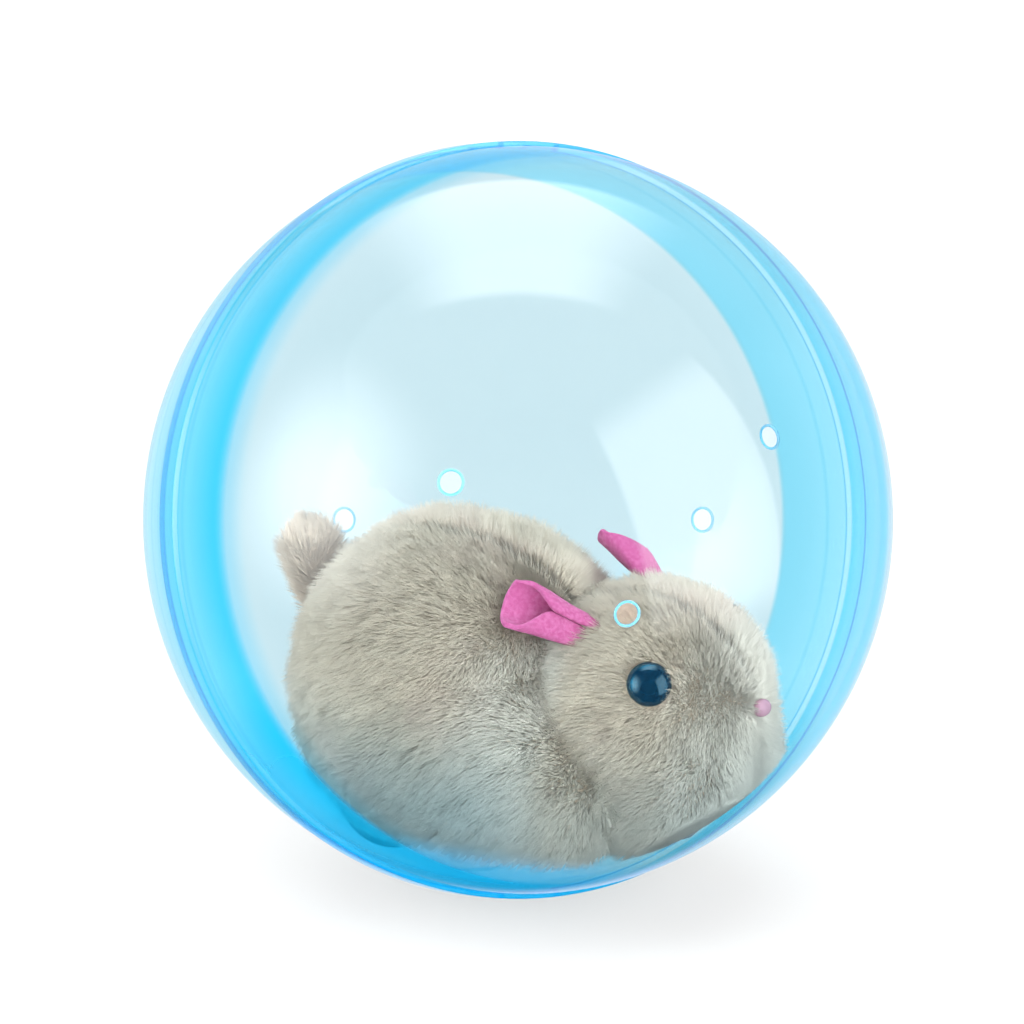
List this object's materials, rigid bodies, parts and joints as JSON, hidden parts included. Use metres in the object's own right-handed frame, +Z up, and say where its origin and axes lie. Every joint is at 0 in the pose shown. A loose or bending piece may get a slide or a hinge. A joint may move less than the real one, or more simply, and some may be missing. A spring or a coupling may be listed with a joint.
{
  "type": "automatic rolling ball toy",
  "caption": "Clear blue two-part ball rolled from inside by a plush hamster on a battery-driven motor carriage.",
  "frame": {"origin": "centre of the ball", "axes": "+Z up, +X the way the plush animal heads, +Y its left side"},
  "size_m": [0.1234, 0.1236, 0.1238],
  "materials": {
    "clear_shell": "clear light blue gloss plastic",
    "fur": "short pile plush, cream beige",
    "tail_fur": "short pile plush, tan",
    "felt": "pink felt",
    "nose": "satin pink",
    "eye": "glossy black",
    "white_plastic": "moulded satin",
    "grey_plastic": "moulded satin",
    "black_plastic": "moulded satin",
    "gear_plastic": "moulded natural",
    "rubber": "matte",
    "cell_wrap": "plain printed wrap",
    "steel": "plated"
  },
  "bodies": {
    "carriage": {"plush_body": "fur", "plush_head": "fur", "plush_tail": "tail_fur", "ear_left": "felt", "ear_right": "felt", "nose": "nose", "eye_left": "eye", "eye_right": "eye", "chassis_base": "white_plastic", "chassis_cover": "white_plastic", "gear_case": "white_plastic", "gear_case_lid": "white_plastic", "battery_door": "white_plastic", "battery_1": "cell_wrap", "battery_2": "cell_wrap", "motor_can": "steel", "gear_pin_1": "steel", "gear_pin_2": "steel", "cover_screw_1": "steel", "cover_screw_2": "steel", "cover_screw_3": "steel", "door_screw": "steel", "contact_bridge": "steel", "contact_tab_1": "steel", "contact_tab_2": "steel", "roller_pin": "steel", "switch_body": "steel"},
    "rear_shell": {"rear_shell": "clear_shell"},
    "front_shell": {"front_shell": "clear_shell"},
    "drive_wheels": {"drive_axle": "steel", "axle_gear": "gear_plastic", "wheel_left": "grey_plastic", "wheel_right": "grey_plastic", "tyre_left": "rubber", "tyre_right": "rubber"},
    "second_gear": {"compound_gear_2": "gear_plastic"},
    "first_gear": {"compound_gear_1": "gear_plastic"},
    "motor_shaft": {"motor_pinion": "steel"},
    "roller": {"front_roller": "grey_plastic"},
    "switch_slider": {"switch_knob": "black_plastic"}
  },
  "joints": [
    {"name": "ball_roll", "type": "hinge", "parent": "carriage", "child": "rear_shell", "pos_m": [0, 0, 0], "axis": [0, 1, 0], "continuous": true},
    {"name": "shell_pull", "type": "slide", "parent": "rear_shell", "child": "front_shell", "axis": [0.7234, -0.607, 0.3289], "range_m": [0, 0.07]},
    {"name": "axle_spin", "type": "hinge", "parent": "carriage", "child": "drive_wheels", "pos_m": [-0.015, 0, -0.04473], "axis": [0, 1, 0], "continuous": true},
    {"name": "second_gear_spin", "type": "hinge", "parent": "carriage", "child": "second_gear", "pos_m": [-0.01433, 0, -0.03515], "axis": [0, 1, 0], "continuous": true},
    {"name": "first_gear_spin", "type": "hinge", "parent": "carriage", "child": "first_gear", "pos_m": [-0.01258, 0, -0.02521], "axis": [0, 1, 0], "continuous": true},
    {"name": "motor_spin", "type": "hinge", "parent": "carriage", "child": "motor_shaft", "pos_m": [-0.00263, 0, -0.02345], "axis": [0, 1, 0], "continuous": true},
    {"name": "roller_spin", "type": "hinge", "parent": "carriage", "child": "roller", "pos_m": [0.031, 0, -0.0447], "axis": [0, 1, 0], "continuous": true},
    {"name": "switch_slide", "type": "slide", "parent": "carriage", "child": "switch_slider", "axis": [1, 0, 0], "range_m": [0, 0.0024]}
  ],
  "couplings": [
    {"joint": "axle_spin", "follows": "ball_roll", "ratio": 6.2421},
    {"joint": "second_gear_spin", "follows": "ball_roll", "ratio": -17.478},
    {"joint": "first_gear_spin", "follows": "ball_roll", "ratio": 52.434},
    {"joint": "motor_spin", "follows": "ball_roll", "ratio": -157.3},
    {"joint": "roller_spin", "follows": "ball_roll", "ratio": 11.88}
  ]
}
